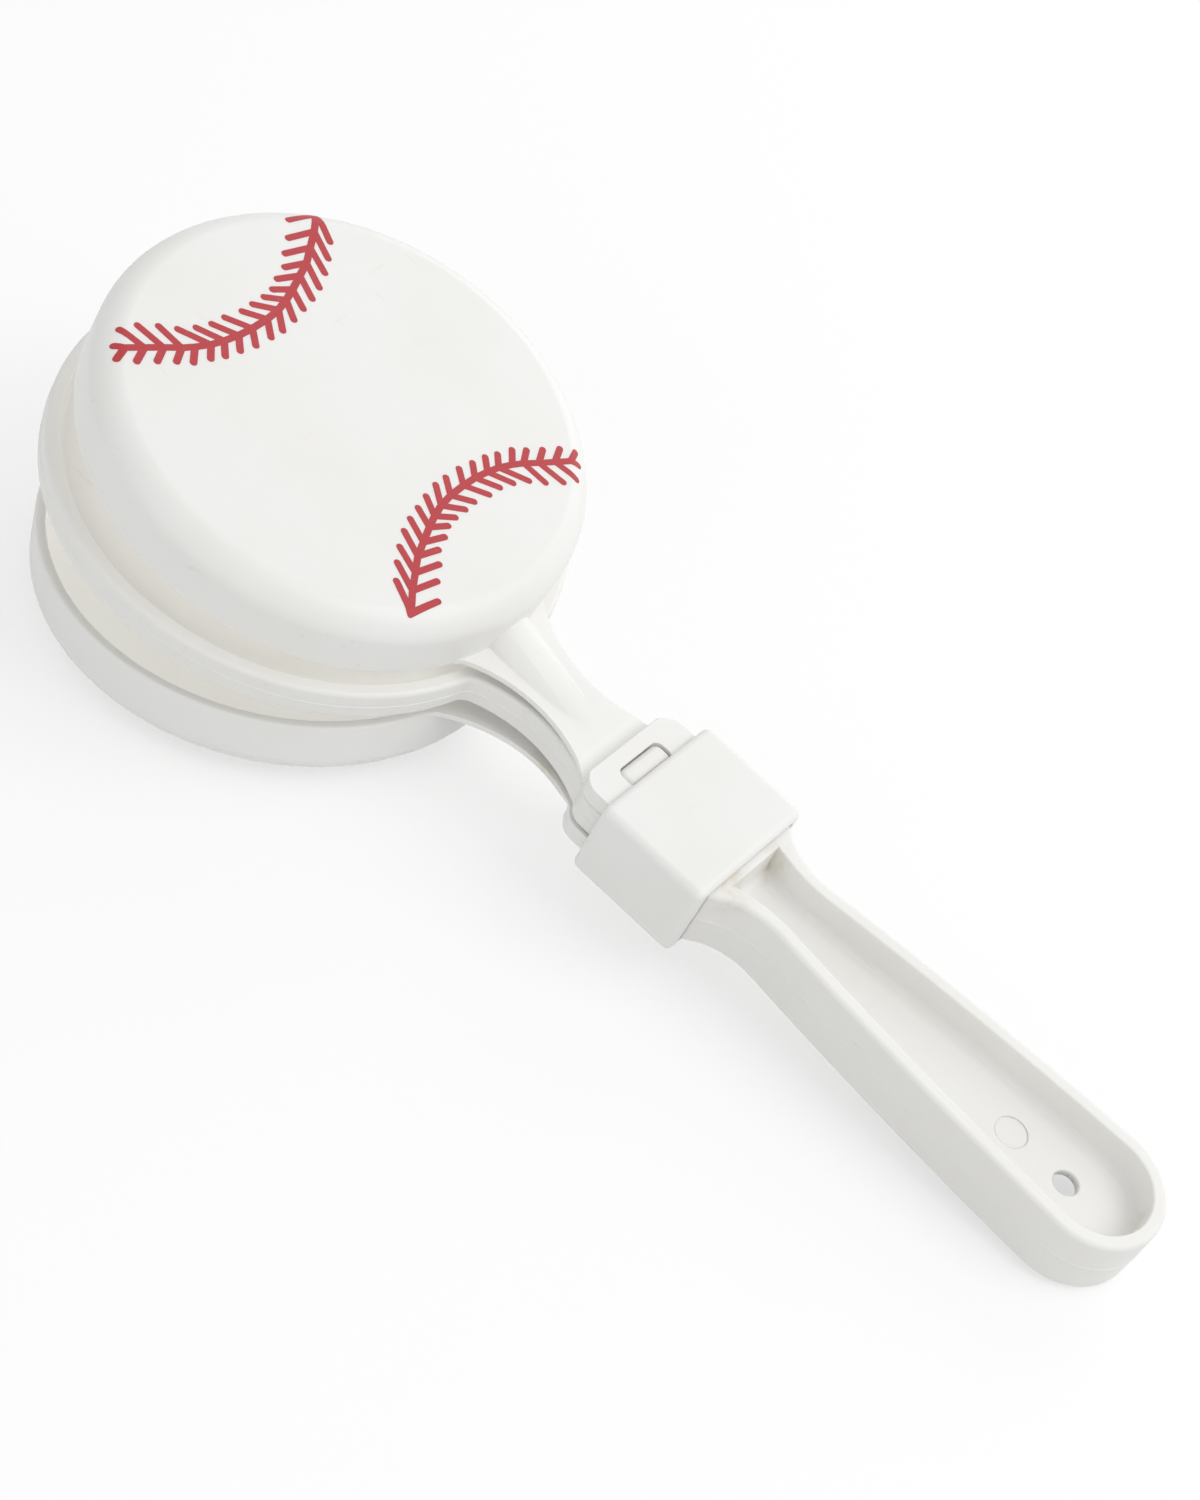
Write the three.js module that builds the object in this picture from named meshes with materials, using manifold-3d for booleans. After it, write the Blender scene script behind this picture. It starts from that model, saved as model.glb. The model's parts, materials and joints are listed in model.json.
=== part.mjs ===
// Hand clapper: a flat round paddle on a handle, with a cup clapper hinged on each of its faces.
// Lengths are in millimetres and angles in degrees. The working frame has +X towards the end of
// the handle, +Z up and its origin inside the collar. The finished group is turned and moved so
// that the clapper lies at rest on the plane z = 0.
import * as THREE from "three";
import { mergeVertices } from "three/addons/utils/BufferGeometryUtils.js";
import Module from "manifold-3d";

// Clearances
const seatGap = 0.3; // between pieces that nest, seat or slide in each other
const webGap = 0.15; // between a hinge web and each of the two edges that it joins

// Cup clappers
const cupRadius = 40.2;
const cupDepth = 11.7; // from the rim to the outer face
const cupWall = 1.8;
const cupEdgeRadius = 4.5; // round between the outer face and the side wall
const cupLipRadius = 0.5; // round on both edges of the rim
const upperOpening = 5.2; // from closed, at rest
const lowerOpening = 8.5;

// Neck plates that carry the cups, and the rib on each
const neckLength = 23; // from the hinge end of the plate to the cup wall
const neckThickness = 1;
const neckWaist = 5.3; // half the width at the narrowest place
const neckWaistFromEnd = 10.2; // from the hinge end of the plate
const neckFlareRadius = 23;
const neckFilletRadius = 3; // where a neck runs into a disc
const ribRadius = 8;
const ribSlope = 5.7;
const ribTipFromEnd = 3.6; // from the hinge end of the plate

// Hinge webs
const webThickness = 0.55;
const webSpan = 1.6; // from the locking tab to the neck plate

// Locking tabs, with a slot for the stud of the paddle
const tabThickness = 2.9;
const tabHalfWidth = 10.9;
const tabCornerRadius = 3.6;
const tabLength = 23.7;
const tabExposed = 6.1; // how far a tab stands out of the collar
const slotFromFront = 4.7; // from the front edge of the tab to the middle of the slot
const slotHalfLength = 5.2;
const slotHalfWidth = 2.1;
const slotCornerRadius = 1.5;

// Collar
const collarFront = -9.6; // where the collar ends towards the cups
const collarLength = 20;
const collarWall = 1.2; // above and below
const collarSideWall = 2.2;
const collarEdgeRadius = 1.3; // along its four long edges, outside
const collarMouthRadius = 1; // round on the outside edge towards the handle

// Fixed paddle between the cups, which close on its rim
const discWebHalf = 1.3; // half the thickness of its thin middle
const discOverhang = 2.2; // of its rim past the wall of a cup
const discRimWidth = 2.5;
const discRimHalf = 2.8; // half the height of its rim, of the neck and of the root plate
const mouldRadius = 0.8; // round on the long outside edges of the paddle and the handle

// Handle
const handleHalf = 6; // half its height
const handleLength = 80.5; // out of the collar
const handleEndRadius = 11.4;
const handleWaist = 7; // half its width at the narrowest place
const handleWaistFromCollar = 9.6;
const handleFlareRadius = 13.3; // from the waist to the collar
const handleSideRadius = 700; // its sides bulge a little
const handleRimWidth = 2.45;
const recessFromCollar = 1.8;
const recessFlareRadius = 26;
const handleWebHalf = 0.8; // half the thickness of its thin middle
const holeRadius = 2.25;
const holeFromEnd = 14.6;
const ejectorRadius = 2.8;
const ejectorDepth = 0.15;
const ejectorFromEnd = 25.3;

// Smoothness of round shapes
const discSegments = 80;
const ribSegments = 48;
const arcStep = 5; // degrees between the points of an arc in plan
const longArcStep = 1; // the same on the long sides of the handle
const edgeStep = 22.5; // degrees between the points of a rounded edge or a small corner
const roundSteps = 3; // steps over a rounded edge
const overlap = 0.2; // how far pieces that are joined reach into each other

// Places that follow from the sizes above
const tabFront = collarFront - tabExposed;
const tabRear = tabFront + tabLength;
const tabBottom = discRimHalf + seatGap;
const tabTop = tabBottom + tabThickness;
const neckEnd = tabFront - webSpan;
const neckBottom = tabBottom;
const neckTop = neckBottom + neckThickness;
const waistX = neckEnd - neckWaistFromEnd;
const flareCentre = new THREE.Vector2(waistX, neckWaist + neckFlareRadius);
const discX = neckEnd - neckLength - cupRadius;
const cupRim = discRimHalf + seatGap;
const cupTop = cupRim + cupDepth;
const discOuter = cupRadius + discOverhang;
const discInner = discOuter - discRimWidth;
const hingeX = tabFront - webSpan / 2;
const hingeZ = neckBottom + webThickness / 2;
const collarRear = collarFront + collarLength;
const blockFront = tabRear + seatGap;
const handleEnd = collarRear + handleLength;
const handleEndCentre = new THREE.Vector2(handleEnd - handleEndRadius, 0);
const handleWaistX = collarRear + handleWaistFromCollar;
const degrees = Math.PI / 180;

const wasm = await Module();
wasm.setup();

// Points of an arc, from one angle to another, both in radians
function arc(x, y, radius, from, to, step = arcStep) {
  const steps = Math.max(2, Math.round(Math.abs(to - from) / (step * degrees)));
  return Array.from({ length: steps + 1 }, (_, i) => {
    const angle = from + ((to - from) * i) / steps;
    return new THREE.Vector2(x + radius * Math.cos(angle), y + radius * Math.sin(angle));
  });
}

// The meeting point of two circles that lies to the right of the way from the first to the second
function circlesMeet(first, firstRadius, second, secondRadius) {
  const way = second.clone().sub(first);
  const distance = way.length();
  const along = (distance ** 2 + firstRadius ** 2 - secondRadius ** 2) / (2 * distance);
  const aside = Math.sqrt(firstRadius ** 2 - along ** 2);
  way.normalize();
  return first
    .clone()
    .addScaledVector(way, along)
    .addScaledVector(new THREE.Vector2(way.y, -way.x), aside);
}

function angleFrom(centre, point) {
  return Math.atan2(point.y - centre.y, point.x - centre.x);
}

// The same points on the other side of the middle line, in the opposite order
function mirrored(points) {
  return points.map((p) => new THREE.Vector2(p.x, -p.y)).reverse();
}

// A closed outline from points on its +Y side, given from +X to -X
function symmetricShape(points) {
  return new THREE.Shape([...points, ...mirrored(points)]);
}

function roundedRectangle(halfX, halfY, radius) {
  const corners = [
    [halfX - radius, halfY - radius],
    [radius - halfX, halfY - radius],
    [radius - halfX, radius - halfY],
    [halfX - radius, radius - halfY],
  ];
  const quarter = Math.PI / 2;
  return corners.flatMap(([x, y], i) => arc(x, y, radius, i * quarter, (i + 1) * quarter, edgeStep));
}

// A closed geometry as a solid that can be joined and cut
function solid(geometry) {
  const bare = geometry.index ? geometry.toNonIndexed() : geometry.clone();
  bare.deleteAttribute("normal");
  bare.deleteAttribute("uv");
  const merged = mergeVertices(bare, 1e-4);
  const corners = merged.index.array;
  const triangles = [];
  for (let i = 0; i < corners.length; i += 3) {
    const [a, b, c] = [corners[i], corners[i + 1], corners[i + 2]];
    if (a !== b && b !== c && c !== a) triangles.push(a, b, c);
  }
  return new wasm.Manifold(
    new wasm.Mesh({
      numProp: 3,
      vertProperties: new Float32Array(merged.attributes.position.array),
      triVerts: new Uint32Array(triangles),
    }),
  );
}

// A plate between two heights, its long edges rounded where a radius is given
function plate(shape, bottom, top, radius = 0) {
  const geometry = new THREE.ExtrudeGeometry(shape, {
    depth: top - bottom - 2 * radius,
    bevelEnabled: radius > 0,
    bevelThickness: radius,
    bevelSize: radius,
    bevelOffset: -radius,
    bevelSegments: roundSteps,
    steps: 1,
  });
  return solid(geometry.translate(0, 0, bottom + radius));
}

function upright(x, radius, bottom, top, segments = 24) {
  const geometry = new THREE.CylinderGeometry(radius, radius, top - bottom, segments);
  return solid(geometry.rotateX(Math.PI / 2).translate(x, 0, (top + bottom) / 2));
}

function block(fromX, toX, halfY, bottom, top) {
  const geometry = new THREE.BoxGeometry(toX - fromX, 2 * halfY, top - bottom);
  return solid(geometry.translate((fromX + toX) / 2, 0, (bottom + top) / 2));
}

function piece(name, manifold, material) {
  const mesh = manifold.getMesh();
  const geometry = new THREE.BufferGeometry();
  geometry.setAttribute("position", new THREE.BufferAttribute(mesh.vertProperties, 3));
  geometry.setIndex(new THREE.BufferAttribute(mesh.triVerts, 1));
  geometry.computeVertexNormals();
  const made = new THREE.Mesh(geometry, material);
  made.name = name;
  return made;
}

function whitePlastic(color) {
  return new THREE.MeshStandardMaterial({ color, roughness: 0.35, metalness: 0 });
}

// The +Y side of a neck, from its wide end to the point where its fillet touches a disc
function neckSide(discRadius, wideEnd) {
  const disc = new THREE.Vector2(discX, 0);
  const fillet = circlesMeet(
    disc,
    discRadius + neckFilletRadius,
    flareCentre,
    neckFlareRadius - neckFilletRadius,
  );
  const towardsNeck = angleFrom(flareCentre, fillet);
  const towardsDisc = angleFrom(fillet, disc);
  return [
    ...arc(flareCentre.x, flareCentre.y, neckFlareRadius, wideEnd, towardsNeck),
    ...arc(fillet.x, fillet.y, neckFilletRadius, towardsNeck, towardsDisc).slice(1),
  ];
}

// Half the width of a neck at its hinge end
function neckHalfWidth() {
  return flareCentre.y - Math.sqrt(neckFlareRadius ** 2 - neckWaistFromEnd ** 2);
}

// The front corner of a tab or of the root plate, on the +Y side, down to an angle
function shoulder(toAngle) {
  const x = tabFront + tabCornerRadius;
  return arc(x, tabHalfWidth - tabCornerRadius, tabCornerRadius, Math.PI / 2, toAngle);
}

// The profile of a cup turned round its axis, closed on the axis. It starts half a step round, so
// that the lower cup rests on a flat step of its edge and not on a point
function cupShell() {
  const inner = cupRadius - cupWall;
  const innerEdge = cupEdgeRadius - cupWall;
  const quarter = Math.PI / 2;
  const round = (x, y, radius, from, to) => arc(x, y, radius, from, to, edgeStep);
  const profile = [
    new THREE.Vector2(0, cupTop - cupWall),
    ...round(inner - innerEdge, cupTop - cupWall - innerEdge, innerEdge, quarter, 0),
    ...round(inner + cupLipRadius, cupRim + cupLipRadius, cupLipRadius, 2 * quarter, 3 * quarter),
    ...round(cupRadius - cupLipRadius, cupRim + cupLipRadius, cupLipRadius, -quarter, 0),
    ...round(cupRadius - cupEdgeRadius, cupTop - cupEdgeRadius, cupEdgeRadius, 0, quarter),
    new THREE.Vector2(0, cupTop),
  ];
  const turned = new THREE.LatheGeometry(profile, discSegments, Math.PI / discSegments);
  return solid(turned.rotateX(Math.PI / 2).translate(discX, 0, 0));
}

// The plate that carries a cup, reaching half-way into the cup's wall
function neckPlate() {
  const wideEnd = angleFrom(flareCentre, new THREE.Vector2(neckEnd, neckHalfWidth()));
  const side = neckSide(cupRadius, wideEnd);
  const touch = angleFrom(new THREE.Vector2(discX, 0), side[side.length - 1]);
  const inWall = arc(discX, 0, cupRadius - cupWall / 2, touch, 0);
  return plate(symmetricShape([...side, ...inWall.slice(0, -1)]), neckBottom, neckTop);
}

// The rib on a neck plate: the top of a round bar that rises from the plate towards the cup
function neckRib() {
  const length = 2 * neckLength;
  const tip = neckEnd - ribTipFromEnd;
  const inWall = discX + cupRadius - cupWall / 2;
  const bar = new THREE.CylinderGeometry(ribRadius, ribRadius, length, ribSegments);
  bar.rotateZ(Math.PI / 2);
  bar.translate(0, 0, -ribRadius);
  bar.rotateY(ribSlope * degrees);
  bar.translate(tip, 0, neckTop);
  const kept = block(inWall, neckEnd, ribRadius, neckTop - neckThickness / 2, cupTop - cupWall);
  return solid(bar).intersect(kept);
}

function cupClapper() {
  return cupShell().add(neckPlate()).add(neckRib());
}

// A hinge web, bent by the opening of its cup. The hinge axis runs through its middle
function hingeWeb(opening) {
  const reach = webSpan / 2 - webGap;
  const stations = [
    [reach, 0],
    [0, opening / 2],
    [-reach, opening],
  ];
  const side = (offset) =>
    stations.map(([along, turn]) => {
      const angle = turn * degrees;
      return new THREE.Vector2(
        along * Math.cos(angle) + offset * Math.sin(angle),
        offset * Math.cos(angle) - along * Math.sin(angle),
      );
    });
  const section = new THREE.Shape([...side(webThickness / 2), ...side(-webThickness / 2).reverse()]);
  const width = 2 * neckHalfWidth();
  const strip = new THREE.ExtrudeGeometry(section, { depth: width, bevelEnabled: false });
  return solid(strip.translate(0, 0, -width / 2).rotateX(Math.PI / 2).translate(hingeX, 0, hingeZ));
}

function lockingTab() {
  const points = [
    new THREE.Vector2(tabRear, tabHalfWidth),
    ...shoulder(Math.PI),
  ];
  const slot = roundedRectangle(slotHalfWidth, slotHalfLength, slotCornerRadius);
  const shape = symmetricShape(points);
  shape.holes.push(new THREE.Path(slot.map((p) => p.setX(p.x + tabFront + slotFromFront))));
  return plate(shape, tabBottom, tabTop);
}

// One clapper: its cup turned open about the hinge, its web and its tab
function clapper(side, opening, material) {
  const group = new THREE.Group();
  const swing = new THREE.Group();
  const cup = piece(`${side}_clapper_cup`, cupClapper(), material.clone());
  swing.position.set(hingeX, 0, hingeZ);
  swing.rotation.y = opening * degrees;
  cup.position.set(-hingeX, 0, -hingeZ);
  swing.add(cup);
  group.add(swing);
  group.add(piece(`${side}_hinge_web`, hingeWeb(opening), material.clone()));
  group.add(piece(`${side}_locking_tab`, lockingTab(), material.clone()));
  return group;
}

// The square sleeve over the tabs and the root of the paddle, sharp towards the cups
function collar() {
  const innerY = tabHalfWidth + seatGap;
  const innerZ = tabTop + seatGap;
  const outerY = innerY + collarSideWall;
  const outerZ = innerZ + collarWall;
  const front = collarFront - collarMouthRadius - overlap;
  const section = (halfY, halfZ, radius) => new THREE.Shape(roundedRectangle(halfZ, halfY, radius));
  const outside = plate(section(outerY, outerZ, collarEdgeRadius), front, collarRear, collarMouthRadius);
  const inside = plate(section(innerY, innerZ, seatGap), front - overlap, collarRear + overlap);
  const sleeve = outside.subtract(inside).rotate([0, 90, 0]);
  return sleeve.intersect(block(collarFront, collarRear + overlap, 2 * outerY, -2 * outerZ, 2 * outerZ));
}

// The disc, neck and root plate of the paddle, with the studs that lock the tabs
function paddleHead() {
  const corner = new THREE.Vector2(tabFront + tabCornerRadius, tabHalfWidth - tabCornerRadius);
  const kink = circlesMeet(flareCentre, neckFlareRadius, corner, tabCornerRadius);
  const side = neckSide(discOuter, angleFrom(flareCentre, kink));
  const disc = new THREE.Vector2(discX, 0);
  const touch = angleFrom(disc, side[side.length - 1]);
  const shape = symmetricShape([
    new THREE.Vector2(blockFront + overlap + mouldRadius, tabHalfWidth),
    ...shoulder(angleFrom(corner, kink)),
    ...side.slice(1),
    ...arc(disc.x, disc.y, discOuter, touch, Math.PI).slice(1, -1),
  ]);
  shape.holes.push(new THREE.Path(arc(disc.x, disc.y, discInner, 0, 2 * Math.PI).slice(0, -1)));
  const frame = plate(shape, -discRimHalf, discRimHalf, mouldRadius);
  const middle = upright(discX, discInner + discRimWidth / 2, -discWebHalf, discWebHalf, discSegments);
  const stud = new THREE.Shape(
    roundedRectangle(
      slotHalfWidth - seatGap,
      slotHalfLength - seatGap,
      slotCornerRadius - seatGap,
    ).map((p) => p.setX(p.x + tabFront + slotFromFront)),
  );
  return frame.add(middle).add(plate(stud, -tabTop, tabTop));
}

// The +Y side of the handle, moved inwards by an inset, from its end to a place behind the collar
function handleSide(inset, flareRadius, frontX) {
  const endRadius = handleEndRadius - inset;
  const sideRadius = handleSideRadius - inset;
  const flare = new THREE.Vector2(handleWaistX, handleWaist - inset + flareRadius);
  const side = circlesMeet(flare, sideRadius + flareRadius, handleEndCentre, sideRadius - endRadius);
  const atEnd = angleFrom(side, handleEndCentre);
  const atFlare = angleFrom(side, flare);
  const front = Math.PI + Math.acos((flare.x - frontX) / flareRadius);
  return [
    ...arc(handleEndCentre.x, 0, endRadius, 0, atEnd),
    ...arc(side.x, side.y, sideRadius, atEnd, atFlare, longArcStep).slice(1),
    ...arc(flare.x, flare.y, flareRadius, atFlare + Math.PI, front).slice(1),
  ];
}

// The handle: a rim round a thin web, with a full-width block in the collar's mouth
function handle() {
  const rise = handleWaist + handleFlareRadius - tabHalfWidth;
  const blockRear = handleWaistX - Math.sqrt(handleFlareRadius ** 2 - rise ** 2);
  const outline = symmetricShape([
    ...handleSide(0, handleFlareRadius, blockRear),
    new THREE.Vector2(blockFront, tabHalfWidth),
  ]);
  const recessFront = collarRear + recessFromCollar;
  outline.holes.push(symmetricShape(handleSide(handleRimWidth, recessFlareRadius, recessFront)));
  const rim = plate(outline, -handleHalf, handleHalf, mouldRadius);
  const web = plate(
    symmetricShape(handleSide(handleRimWidth - overlap, recessFlareRadius, recessFront - overlap)),
    -handleWebHalf,
    handleWebHalf,
  );
  const hole = upright(handleEnd - holeFromEnd, holeRadius, -handleHalf, handleHalf);
  const markBottom = handleWebHalf - ejectorDepth;
  const mark = upright(handleEnd - ejectorFromEnd, ejectorRadius, markBottom, handleHalf);
  return rim.add(web).subtract(hole).subtract(mark);
}

// The slope of a straight edge that touches the lower cup and the end of the handle from below
function restingTilt() {
  const opening = lowerOpening * degrees;
  const cupEdge = new THREE.Vector2(discX - cupRadius + cupEdgeRadius, cupEdgeRadius - cupTop);
  cupEdge.rotateAround(new THREE.Vector2(hingeX, -hingeZ), opening);
  const handleEdge = new THREE.Vector2(handleEnd - mouldRadius, mouldRadius - handleHalf);
  const way = handleEdge.clone().sub(cupEdge);
  return way.angle() + Math.asin((cupEdgeRadius - mouldRadius) / way.length());
}

// The whole clapper
const lying = new THREE.Group();
const lower = clapper("lower", lowerOpening, whitePlastic(0xefeee6));
lower.rotation.x = Math.PI;
lying.add(piece("centre_paddle", paddleHead().add(handle()), whitePlastic(0xefeee7)));
lying.add(piece("collar_sleeve", collar(), whitePlastic(0xf2f2ee)));
lying.add(clapper("upper", upperOpening, whitePlastic(0xf4f3ef)));
lying.add(lower);
lying.rotation.y = restingTilt();

const handClapper = new THREE.Group();
handClapper.add(lying);
handClapper.updateMatrixWorld(true);
const box = new THREE.Box3().setFromObject(handClapper, true);
const middle = box.getCenter(new THREE.Vector3());
lying.position.set(-middle.x, -middle.y, -box.min.z);

export default handClapper;
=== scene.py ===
"""Hand clapper: its finished pieces and their looks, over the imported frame.

The pieces are modelled in millimetres in the paddle's own frame, which has +X towards the end of
the handle, +Z up and its origin inside the collar. They are then brought into the frame of the
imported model, in metres.
"""

import json
import logging
import math
from contextlib import contextmanager
from dataclasses import dataclass
from enum import Enum
from typing import Any, Callable, Iterator, Optional, Sequence, Union

import bmesh
import bpy
from mathutils import Euler, Matrix, Vector

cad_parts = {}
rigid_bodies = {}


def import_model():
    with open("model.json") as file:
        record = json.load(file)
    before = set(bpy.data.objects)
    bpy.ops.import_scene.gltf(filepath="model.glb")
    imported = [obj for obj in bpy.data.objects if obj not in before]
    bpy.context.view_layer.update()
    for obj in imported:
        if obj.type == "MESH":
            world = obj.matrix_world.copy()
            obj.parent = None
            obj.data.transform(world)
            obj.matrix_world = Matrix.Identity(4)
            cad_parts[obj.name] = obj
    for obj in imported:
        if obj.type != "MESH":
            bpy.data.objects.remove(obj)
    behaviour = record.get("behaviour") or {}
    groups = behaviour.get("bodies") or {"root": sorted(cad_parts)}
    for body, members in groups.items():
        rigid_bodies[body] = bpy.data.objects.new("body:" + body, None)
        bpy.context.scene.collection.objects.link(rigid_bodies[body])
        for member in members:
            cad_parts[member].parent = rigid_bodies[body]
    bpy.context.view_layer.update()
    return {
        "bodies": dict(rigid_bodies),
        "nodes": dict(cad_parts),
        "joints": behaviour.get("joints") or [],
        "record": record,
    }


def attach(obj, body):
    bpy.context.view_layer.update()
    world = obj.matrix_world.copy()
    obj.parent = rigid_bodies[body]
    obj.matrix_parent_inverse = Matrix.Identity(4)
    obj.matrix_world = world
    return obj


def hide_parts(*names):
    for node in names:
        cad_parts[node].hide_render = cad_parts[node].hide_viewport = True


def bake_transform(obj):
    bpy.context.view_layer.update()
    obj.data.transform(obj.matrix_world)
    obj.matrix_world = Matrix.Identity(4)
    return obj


log = logging.getLogger("hand_clapper")

Point = tuple[float, float]
Place = tuple[float, float, float]
Colour = tuple[float, float, float]
Rings = list[Point]
Test = Callable[[Any], bool]

MM = 0.001  # one millimetre in metres
CAP = 1.0  # how far a cutter stands out of the face that it cuts, in millimetres
TOUCH = 1e-3  # how close two levels are that count as one, in millimetres
MERGE = 0.002  # how close two vertices are that become one, in millimetres
REST_PLACE = "rest_place"  # attribute of vertices: their place at rest, in metres
# The faces inside a cup are where the painted glow of the cups goes.
CUP_INSIDE = "cup_inside"  # attribute of faces: 1 inside a cup and 0 elsewhere


class Kind(Enum):
    """What a pick in edit mode takes."""

    VERT = "verts"
    EDGE = "edges"
    FACE = "faces"


class Mix(Enum):
    """How two solids on the bench become one."""

    JOIN = "UNION"
    CUT = "DIFFERENCE"
    COMMON = "INTERSECT"


class Side(Enum):
    """The two clappers, by the face of the paddle that they strike."""

    UPPER = 1
    LOWER = -1


class Body(Enum):
    """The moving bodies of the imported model."""

    PADDLE = "paddle"
    UPPER = "upper_clapper"
    LOWER = "lower_clapper"


class Slot(Enum):
    """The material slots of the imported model."""

    PADDLE = "paddle_plastic"
    COLLAR = "collar_plastic"
    CUP = "cup_plastic"


# Sizes in millimetres that several pieces share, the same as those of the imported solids


@dataclass(frozen=True)
class Layout:
    """Sizes and places that more than one piece is built on."""

    seat_gap: float = 0.3
    cup_radius: float = 40.2
    cup_depth: float = 11.7
    cup_wall: float = 1.8
    cup_sides: int = 160
    neck_length: float = 23.0
    neck_thickness: float = 1.0
    neck_waist: float = 5.3
    neck_waist_from_end: float = 10.2
    neck_flare_radius: float = 23.0
    neck_fillet_radius: float = 3.0
    web_thickness: float = 0.55
    web_span: float = 1.6
    tab_thickness: float = 2.9
    tab_half_width: float = 10.9
    tab_corner_radius: float = 3.6
    tab_length: float = 23.7
    tab_exposed: float = 6.1
    slot_from_front: float = 4.7
    slot_half_length: float = 5.2
    slot_half_width: float = 2.1
    slot_corner_radius: float = 1.5
    collar_front: float = -9.6
    collar_length: float = 20.0
    disc_overhang: float = 2.2
    disc_rim_width: float = 2.5
    disc_rim_half: float = 2.8

    # Places along X
    tab_front: float = collar_front - tab_exposed
    tab_rear: float = tab_front + tab_length
    neck_end: float = tab_front - web_span
    waist_x: float = neck_end - neck_waist_from_end
    disc_x: float = neck_end - neck_length - cup_radius
    hinge_x: float = tab_front - web_span / 2
    slot_x: float = tab_front + slot_from_front
    collar_rear: float = collar_front + collar_length

    # Heights over the middle plane of the paddle, for a closed clapper
    tab_bottom: float = disc_rim_half + seat_gap
    tab_top: float = tab_bottom + tab_thickness
    cup_top: float = tab_bottom + cup_depth
    cup_roof: float = cup_top - cup_wall
    hinge_z: float = tab_bottom + web_thickness / 2

    # Radii of the cups and the disc
    cup_inner: float = cup_radius - cup_wall
    disc_outer: float = cup_radius + disc_overhang
    disc_inner: float = disc_outer - disc_rim_width

    @property
    def flare_centre(self) -> Vector:
        """Centre of the arc along the +Y side of the necks."""
        return Vector((self.waist_x, self.neck_waist + self.neck_flare_radius))


LAYOUT = Layout()


# Plane geometry of the outlines


def circles_meet(first: Vector, first_radius: float, second: Vector, second_radius: float) -> Vector:
    """Finds where two circles meet.

    Args:
        first: Centre of the first circle.
        first_radius: Its radius.
        second: Centre of the second circle.
        second_radius: Its radius.

    Returns:
        The meeting point to the right of the way from the first centre to the second.
    """
    way = second - first
    along = (way.length**2 + first_radius**2 - second_radius**2) / (2 * way.length)
    aside = math.sqrt(first_radius**2 - along**2)
    way.normalize()
    return first + along * way + aside * Vector((way.y, -way.x))


def angle_from(centre: Vector, point: Vector) -> float:
    """Direction from a centre to a point, in degrees."""
    return math.degrees(math.atan2(point.y - centre.y, point.x - centre.x))


def rounded(inset: float, level: float, radius: float, steps: int) -> Rings:
    """Rings that round the edge or the floor at the end of a wall.

    Args:
        inset: How far the wall has come inwards where the round begins.
        level: Height of the finished edge, or depth of the floor.
        radius: Radius of the round.
        steps: Faces over the round.

    Returns:
        The rings, each as inset and level.
    """
    turns = [math.radians(90 * k / steps) for k in range(steps + 1)]
    return [(inset + radius * (1 - math.cos(a)), level - radius + radius * math.sin(a)) for a in turns]


def opened_mouth(radius: float, steps: int = 3) -> Rings:
    """Rings of a cutter that rounds the mouth of its hollow, as inset and depth under its cap."""
    turns = [math.radians(90 * k / steps) for k in range(steps + 1)]
    return [(radius * math.sin(a), CAP + radius * (1 - math.cos(a))) for a in turns]


def ends(test: Test) -> Test:
    """A test that an edge passes when the places of both its ends pass."""
    return lambda edge: all(test(vertex.co) for vertex in edge.verts)


def spans(axis: int, least: float) -> Test:
    """A test that an edge passes when it runs farther than that along an axis."""
    return lambda edge: abs(edge.verts[0].co[axis] - edge.verts[1].co[axis]) > least


# The bench: modelling by operators


def put_down() -> None:
    """Leaves edit mode and deselects everything."""
    if bpy.context.object and bpy.context.object.mode != "OBJECT":
        bpy.ops.object.mode_set(mode="OBJECT")
    bpy.ops.object.select_all(action="DESELECT")


def take_all() -> None:
    """Selects everything in edit mode."""
    bpy.ops.mesh.select_all(action="SELECT")


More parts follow.
